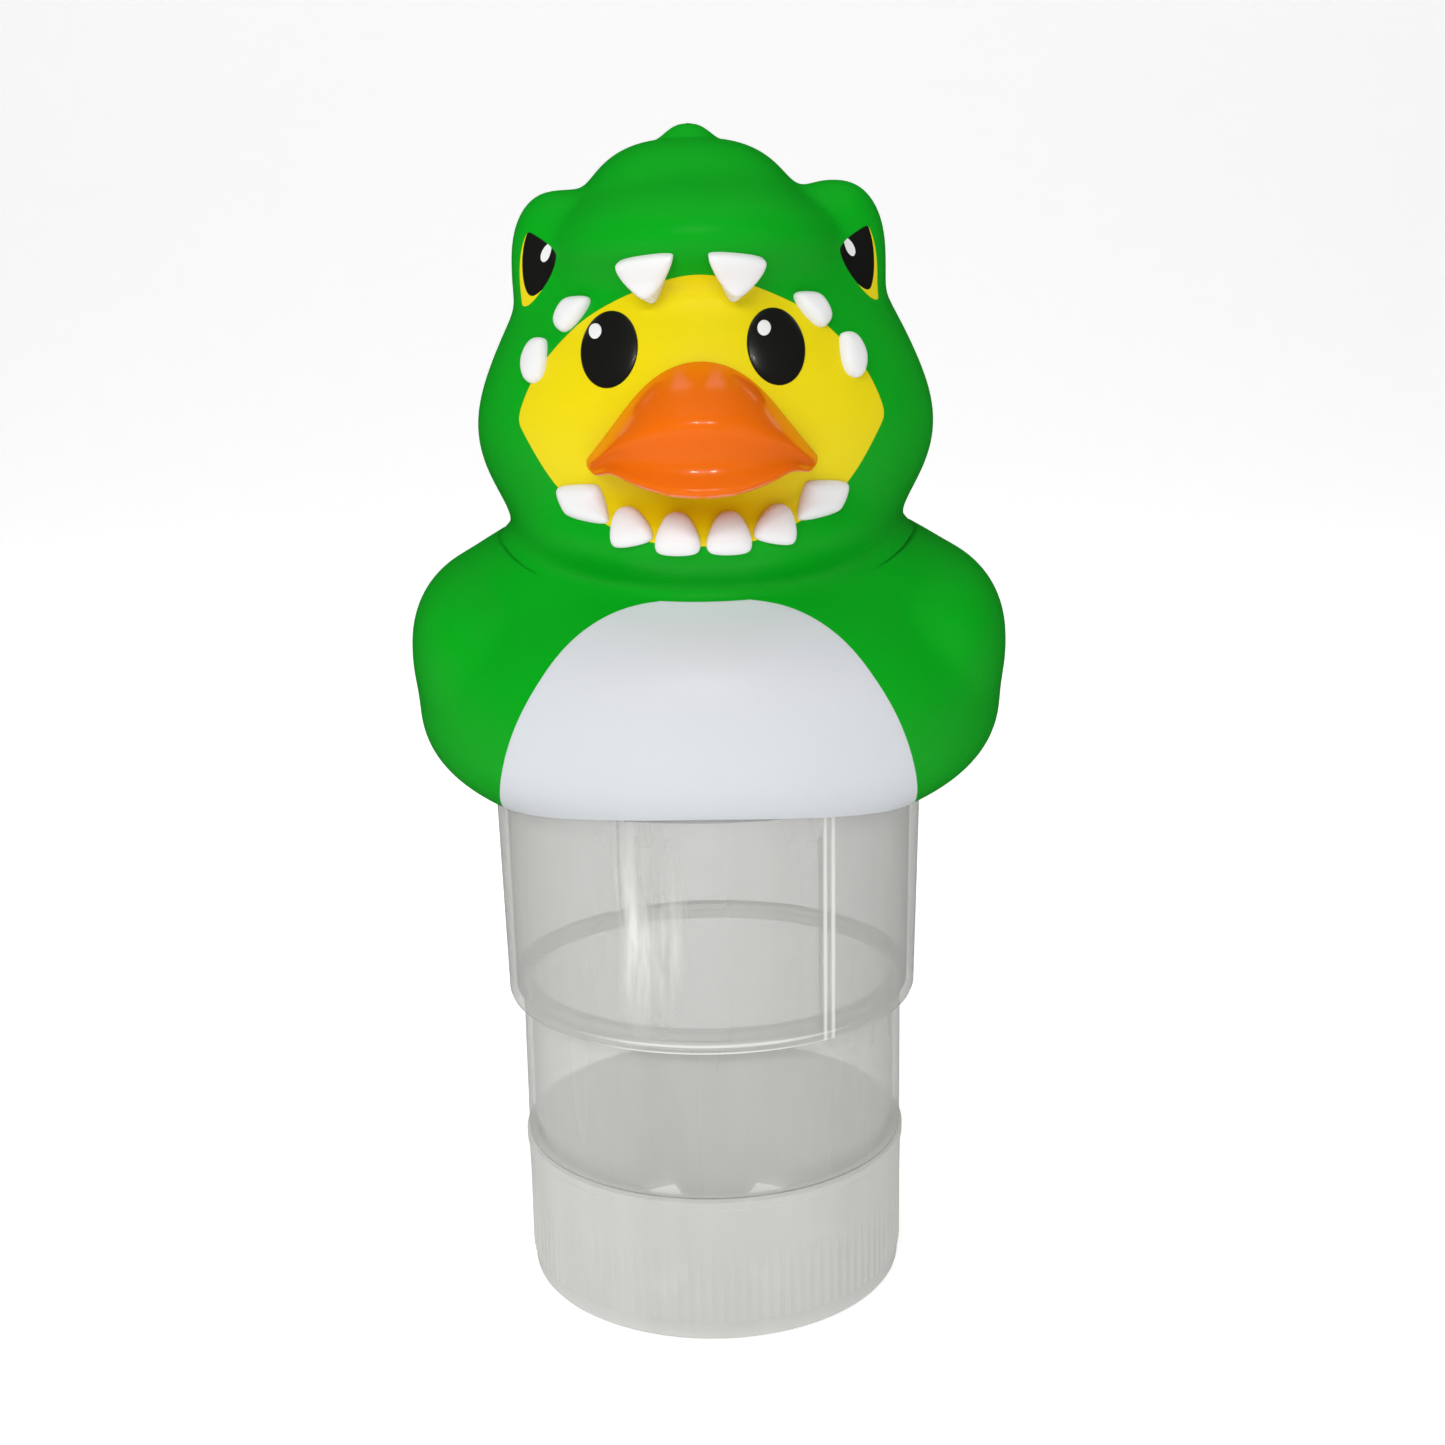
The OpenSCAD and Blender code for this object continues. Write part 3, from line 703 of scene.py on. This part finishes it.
def beak_mesh():
    """Bill: domed top, hollow front, rolled lip, thin flange on the face."""
    columns, rows, half_width, flange = 181, 90, 22.4, 0.7
    u = np.sin(np.linspace(-math.pi / 2, math.pi / 2, columns))
    x = u * half_width
    # heights of the top and lower edges at places across
    top_x = (0, 4, 8, 11.5, 17, 20.5, 22.5)
    top_z = (206.8, 206.3, 204.4, 201.6, 194.6, 190.2, 187.8)
    low_x = (0, 6, 10, 13.5, 16, 17.5, 20.5, 22, 22.5)
    low_z = (182.5, 182.9, 183.9, 185, 186.1, 186.4, 185.6, 186.6, 187.6)
    z_top = smoothed(np.interp(np.abs(x), top_x, top_z), 90)
    z_low = smoothed(np.interp(np.abs(x), low_x, low_z), 12)
    s = (1 - np.cos(np.linspace(0, math.pi, rows))) / 2
    # standing height over the face at the centre, from the top edge to the lip
    key_s = (0, 0.03, 0.1, 0.2, 0.3, 0.4, 0.47, 0.52, 0.6, 0.7, 0.78, 0.86, 0.92, 0.96, 1.0)
    key_h = (0.7, 2.2, 5, 8.3, 11.2, 13.6, 14.5, 14.3, 13.2, 12.6, 12.9, 14.2, 15.8, 16.6, 16.2)
    h = smoothed(np.interp(s, key_s, key_h), 14)
    side = np.clip(1 - np.abs(u) ** 2.2, 0, 1) ** 0.62
    z = z_top[None] + (z_low - z_top)[None] * s[:, None]
    flat = np.stack((np.tile(x, (rows, 1)).ravel(), z.ravel()), -1)
    seat = front_of_head(flat)[0].reshape(rows, columns, 3)
    lift = flange + (h[:, None] - flange) * side[None]
    front = seat + np.array((0, -1.0, 0)) * lift[..., None]
    sunk = seat + np.array((0, 0.8, 0))
    # from the lip back to the face, then up behind it
    under = []
    for t, drop in ((0.06, -0.5), (0.2, -0.7), (0.5, -0.2), (1.0, 0.4)):
        row = front[-1] * (1 - t) + sunk[-1] * t
        row[:, 2] += drop * side
        under.append(row)
    rear = sunk[np.linspace(rows - 1, 0, 14).astype(int)[1:]]
    rings = np.concatenate((front, np.array(under), rear))
    count = len(rings)
    faces = []
    for j in range(count):
        a, b = j * columns, (j + 1) % count * columns
        faces += [(a + i, b + i, b + i + 1, a + i + 1) for i in range(columns - 1)]
    faces.append(tuple(j * columns for j in range(count))[::-1])
    faces.append(tuple(j * columns + columns - 1 for j in range(count)))
    return rings.reshape(-1, 3), faces


def fang_mesh(side):
    """Thick pointed tooth that hangs from the snout, its tip clear of the face."""
    centre = (side * 8.7 + FACE_LEAN, 222.2)
    top, length = 226.8, 9.8
    first, more = 0.6, 3.2

    def place(flat):
        p, n = front_of_head(flat)
        down = np.clip((top - flat[:, 1]) / length, 0, 1)
        return p + np.array((0, -1.0, 0)) * (first + more * down)[:, None], n

    return dome(placed(FANG, centre, side), centre, place, 1.5, pillow(4), sink=5.0)


# ---- add-on classes ----


class DispenserSizes(bpy.types.PropertyGroup):
    """Sizes that a user may change"""

    skin: bpy.props.FloatProperty(
        name="Vinyl skin", description="Thickness of the float's vinyl skin",
        default=0.0022, min=0.001, max=0.004, subtype="DISTANCE", unit="LENGTH")
    tooth_rise: bpy.props.FloatProperty(
        name="Tooth height", description="How far the small teeth stand out",
        default=0.0022, min=0.0005, max=0.004, subtype="DISTANCE", unit="LENGTH")


def colour_property(label, text, default):
    """A colour that a user may change."""
    return bpy.props.FloatVectorProperty(name=label, description=text, subtype="COLOR",
                                         size=3, min=0.0, max=1.0, default=default)


class DispenserFinishes(bpy.types.PropertyGroup):
    """Colours that a user may change"""

    green: colour_property("Hood green", "Vinyl of the hood and the body", (0.0, 0.335, 0.008))
    yellow: colour_property("Face yellow", "Vinyl of the duck's face", (0.74, 0.60, 0.0))
    orange: colour_property("Beak orange", "Gloss paint of the beak", (0.76, 0.132, 0.0))
    belly: colour_property("Belly white", "Vinyl of the belly", (0.61, 0.63, 0.66))
    tooth: colour_property("Tooth white", "Paint of the teeth", (0.76, 0.76, 0.76))
    black: colour_property("Eye black", "Paint of the eyes", (0.008, 0.008, 0.007))
    clear: colour_property("Clear plastic", "Natural plastic of the canister", (0.68, 0.68, 0.65))


class MakeHood(bpy.types.Operator):
    """Makes the hood's skin and the spikes down its back"""

    bl_idname = "dispenser.make_hood"
    bl_label = "Make Hood"

    def execute(self, context):
        skin = context.scene.dispenser_sizes.skin / MM
        skin_piece("hood_skin", head_skins()["hood"], skin, finish("green_vinyl"),
                   ["hood_shell"])
        parts = []
        for k in range(SPIKES):
            lift = math.radians(FIRST_SPIKE - SPIKE_STEP * k)
            out = np.array((0, math.cos(lift), math.sin(lift)))
            along = np.array((0, -math.sin(lift), math.cos(lift)))

            def place(flat, out=out, along=along):
                start = (HEAD_CENTRE + (HOOD_LEAN - flat[:, :1]) * np.array((1.0, 0, 0))
                         + flat[:, 1:] * along)
                p = skin_at(start, np.tile(out, (len(flat), 1)), HEAD, 100.0)
                return p, skin_normals(p)

            # the first is a low round bump on the crown
            radii, height, profile = ((7.2, 8.4), 6.3, bell) if k else ((7.4, 7.4), 2.9, nub)
            parts.append(dome(oval((0, 0), radii), (0, 0), place, height, profile))
        points, faces = join(parts)
        make_piece("back_spike_row", points, faces, finish("green_vinyl"), FLOAT,
                   ["back_spikes"])
        return {"FINISHED"}


class MakeFace(bpy.types.Operator):
    """Makes the duck's face, beak and eyes"""

    bl_idname = "dispenser.make_face"
    bl_label = "Make Face"

    def execute(self, context):
        skin = context.scene.dispenser_sizes.skin / MM
        skin_piece("face_skin", head_skins()["face"], skin, finish("yellow_vinyl"),
                   ["duck_face"])
        points, faces = beak_mesh()
        make_piece("beak_shell", points, faces, finish("orange_gloss"), FLOAT, ["beak"],
                   sharp=60)
        glints = []
        (across, up), radii, tilt = DUCK_EYE
        (glint_across, glint_up), glint_radii = DUCK_GLINT
        for side, label in ((-1, "left"), (1, "right")):
            centre = (side * across + FACE_LEAN, up)
            points, faces = dome(oval(centre, radii, side * tilt), centre, front_of_head,
                                 0.7, pillow(2.4))
            make_piece(f"eye_{label}", points, faces, finish("black_paint"), FLOAT,
                       [f"duck_eye_{label}"])
            spot = (centre[0] + glint_across, centre[1] + glint_up)
            glints.append(dome(oval(spot, glint_radii, 0, 32), spot, front_of_head, 0.25,
                               pillow(4), rings=6, base=0.55, sink=0.1))
        points, faces = join(glints)
        make_piece("eye_glints", points, faces, finish("white_paint"), FLOAT,
                   ["duck_eye_glints"])
        return {"FINISHED"}


class MakeHoodEyes(bpy.types.Operator):
    """Makes the painted eyes on the sides of the hood"""

    bl_idname = "dispenser.make_hood_eyes"
    bl_label = "Make Hood Eyes"

    def execute(self, context):
        skin = context.scene.dispenser_sizes.skin / MM
        parts = head_skins()
        for layer, name, finish_name, nodes in (
            ("rim", "hood_eye_yellow", "yellow_vinyl", "hood_eye_rims"),
            ("glint", "hood_eye_shine", "white_paint", "hood_eye_glints"),
        ):
            meshes, corners = [], []
            for label in ("left", "right"):
                points, faces, corner = parts[f"{label}_{layer}"].closed(skin)
                meshes.append((points, faces))
                corners += corner
            points, faces = join(meshes)
            make_piece(name, points, faces, finish(finish_name), FLOAT, [nodes],
                       corners)
        for label in ("left", "right"):
            skin_piece(f"hood_pupil_{label}", parts[f"{label}_pupil"], skin,
                       finish("black_paint"), [f"hood_eye_{label}"])
        return {"FINISHED"}


class MakeTeeth(bpy.types.Operator):
    """Makes the fangs and the small teeth round the mouth"""

    bl_idname = "dispenser.make_teeth"
    bl_label = "Make Teeth"

    def execute(self, context):
        rise = context.scene.dispenser_sizes.tooth_rise / MM
        white = finish("tooth_white")
        for side, label in ((-1, "left"), (1, "right")):
            points, faces = fang_mesh(side)
            make_piece(f"long_fang_{label}", points, faces, white, FLOAT, [f"fang_{label}"],
                       sharp=75)
        for name, node, teeth, lean in (
            ("upper_tooth_row", "upper_teeth", UPPER_TEETH, FACE_LEAN),
            ("lower_tooth_row", "lower_teeth", LOWER_TEETH, 0),
        ):
            parts = []
            for shape, x, z, width, length, turn in teeth:
                for side in (-1, 1):
                    centre = (side * x + lean, z)
                    outline = placed(shape, centre, side, (width, length), turn)
                    parts.append(dome(outline, centre, front_of_head, rise, pillow(3)))
            points, faces = join(parts)
            make_piece(name, points, faces, white, FLOAT, [node])
        return {"FINISHED"}


class MakeBody(bpy.types.Operator):
    """Makes the body's skin and the belly"""

    bl_idname = "dispenser.make_body"
    bl_label = "Make Body"

    def execute(self, context):
        skin = context.scene.dispenser_sizes.skin / MM
        parts = body_skins()
        skin_piece("body_skin", parts["body"], skin, finish("green_vinyl"), ["body_shell"])
        skin_piece("belly_skin", parts["belly"], skin, finish("white_vinyl"), ["belly_panel"])
        return {"FINISHED"}


class FinishCanister(bpy.types.Operator):
    """Gives the canister's parts their plastic"""

    bl_idname = "dispenser.finish_canister"
    bl_label = "Finish Canister"

    def execute(self, context):
        for node, name in (("sleeve", "clear_sleeve"), ("slide_tube", "clear_tube"),
                           ("end_cap", "clear_cap"), ("flow_disc", "clear_disc"),
                           ("socket_cup", "grey_socket"), ("vent_plug", "plug_rubber")):
            refinish(node, name)
        return {"FINISHED"}


class MakeStage(bpy.types.Operator):
    """Makes the floor, the studio light and the camera"""

    bl_idname = "dispenser.make_stage"
    bl_label = "Make Stage"

    def execute(self, context):
        floor_and_wall()
        studio_light()
        camera()
        return {"FINISHED"}


def floor_and_wall():
    """Pale sweep: a floor that curves up into a wall far behind."""
    half, front, depth, radius, height, drop = 4.0, -6.0, 3.0, 1.5, 4.0, 0.0003
    profile = [(front, 0.0), (depth - radius, 0.0)]
    profile += [(depth - radius + radius * math.sin(a), radius - radius * math.cos(a))
                for a in np.linspace(0, math.pi / 2, 13)[1:]]
    profile.append((depth, height))
    points = [(x, y, z - drop) for y, z in profile for x in (-half, half)]
    faces = [(2 * k, 2 * k + 1, 2 * k + 3, 2 * k + 2) for k in range(len(profile) - 1)]
    mesh = bpy.data.meshes.new("studio_sweep")
    mesh.from_pydata(points, [], faces)
    mesh.shade_smooth()
    obj = bpy.data.objects.new("studio_sweep", mesh)
    bpy.context.scene.collection.objects.link(obj)
    white = solid_plastic("studio_white", (0.9, 0.9, 0.9), 0.85, 60, 0.02, uneven=0.03, tint=0.01)
    shader = white.node_tree.nodes["Principled BSDF"]
    set_value(shader, "Emission Color", (1, 1, 1, 1))
    set_value(shader, "Emission Strength", 0.46)
    mesh.materials.append(white)
    obj.visible_glossy = False


def area_light(name, place, aim, size, power, mirrored_in_gloss=False):
    """Rectangular light aimed at a spot; glossy pieces mirror it only when asked to."""
    data = bpy.data.lights.new(name, "AREA")
    data.shape = "RECTANGLE"
    data.size, data.size_y = size
    data.energy = power
    obj = bpy.data.objects.new(name, data)
    obj.location = place
    obj.rotation_euler = (Vector(aim) - Vector(place)).to_track_quat("-Z", "Y").to_euler()
    obj.visible_glossy = mirrored_in_gloss
    bpy.context.scene.collection.objects.link(obj)


def studio_light():
    """Soft key, fill and top light, two small lamps for the highlights and a pale world."""
    aim = (0, 0, 0.14)
    area_light("key_left", (-0.9, -1.3, 1.1), aim, (0.9, 0.9), 14)
    area_light("fill_right", (1.3, -1.1, 0.7), aim, (1.0, 1.0), 3.5)
    area_light("top", (0, 0.2, 1.6), aim, (1.4, 1.4), 8)
    for name, x in (("lamp_left", -0.09), ("lamp_right", 0.09)):
        area_light(name, (x, -0.6, 0.62), aim, (0.07, 0.05), 0.5, mirrored_in_gloss=True)
    world = bpy.data.worlds.new("studio_world")
    world.use_nodes = True
    background = world.node_tree.nodes["Background"]
    set_value(background, "Color", (1, 1, 1, 1))
    set_value(background, "Strength", 0.3)
    scene = bpy.context.scene
    scene.world = world
    world.cycles_visibility.glossy = False
    scene.view_settings.view_transform = "Standard"


# the camera looks down by its pitch and leans by its roll, in degrees; lens in mm
CAMERA_PLACE = (0.0, -0.392, 0.2127)
CAMERA_PITCH = 12.37
CAMERA_ROLL = 1.1
CAMERA_LENS = 44.84
CAMERA_SHIFT = 0.0108


def camera():
    """The front view, from just above the beak."""
    data = bpy.data.cameras.new("camera")
    data.lens = CAMERA_LENS
    data.sensor_width = 36.0
    data.shift_x = CAMERA_SHIFT
    data.clip_start = 0.01
    data.clip_end = 50
    obj = bpy.data.objects.new("camera", data)
    obj.location = CAMERA_PLACE
    turn = Euler((math.radians(90 - CAMERA_PITCH), 0, 0)).to_matrix()
    roll = Euler((0, 0, math.radians(-CAMERA_ROLL))).to_matrix()
    obj.rotation_euler = (turn @ roll).to_euler()
    bpy.context.scene.collection.objects.link(obj)
    bpy.context.scene.camera = obj


class DispenserPanel(bpy.types.Panel):
    """Lists the steps that build the dispenser's looks"""

    bl_idname = "VIEW3D_PT_dispenser"
    bl_label = "Chlorine Dispenser"
    bl_space_type = "VIEW_3D"
    bl_region_type = "UI"
    bl_category = "Dispenser"

    def draw(self, context):
        layout = self.layout
        for name in DispenserSizes.__annotations__:
            layout.prop(context.scene.dispenser_sizes, name)
        for name in DispenserFinishes.__annotations__:
            layout.prop(context.scene.dispenser_finishes, name)
        for operator in OPERATORS:
            layout.operator(operator.bl_idname)


OPERATORS = (MakeHood, MakeFace, MakeHoodEyes, MakeTeeth, MakeBody, FinishCanister, MakeStage)
CLASSES = (DispenserSizes, DispenserFinishes) + OPERATORS + (DispenserPanel,)


def register():
    """Registers the classes and hangs their values on the scene."""
    for cls in CLASSES:
        bpy.utils.register_class(cls)
    bpy.types.Scene.dispenser_sizes = bpy.props.PointerProperty(type=DispenserSizes)
    bpy.types.Scene.dispenser_finishes = bpy.props.PointerProperty(type=DispenserFinishes)


def unregister():
    """Takes off what register put on."""
    del bpy.types.Scene.dispenser_finishes
    del bpy.types.Scene.dispenser_sizes
    for cls in reversed(CLASSES):
        bpy.utils.unregister_class(cls)


def main():
    """Runs every step in order."""
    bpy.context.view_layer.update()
    register()
    steps = bpy.ops.dispenser
    steps.make_hood()
    steps.make_face()
    steps.make_hood_eyes()
    steps.make_teeth()
    steps.make_body()
    steps.finish_canister()
    steps.make_stage()
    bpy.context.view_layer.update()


if __name__ == "__main__":
    main()
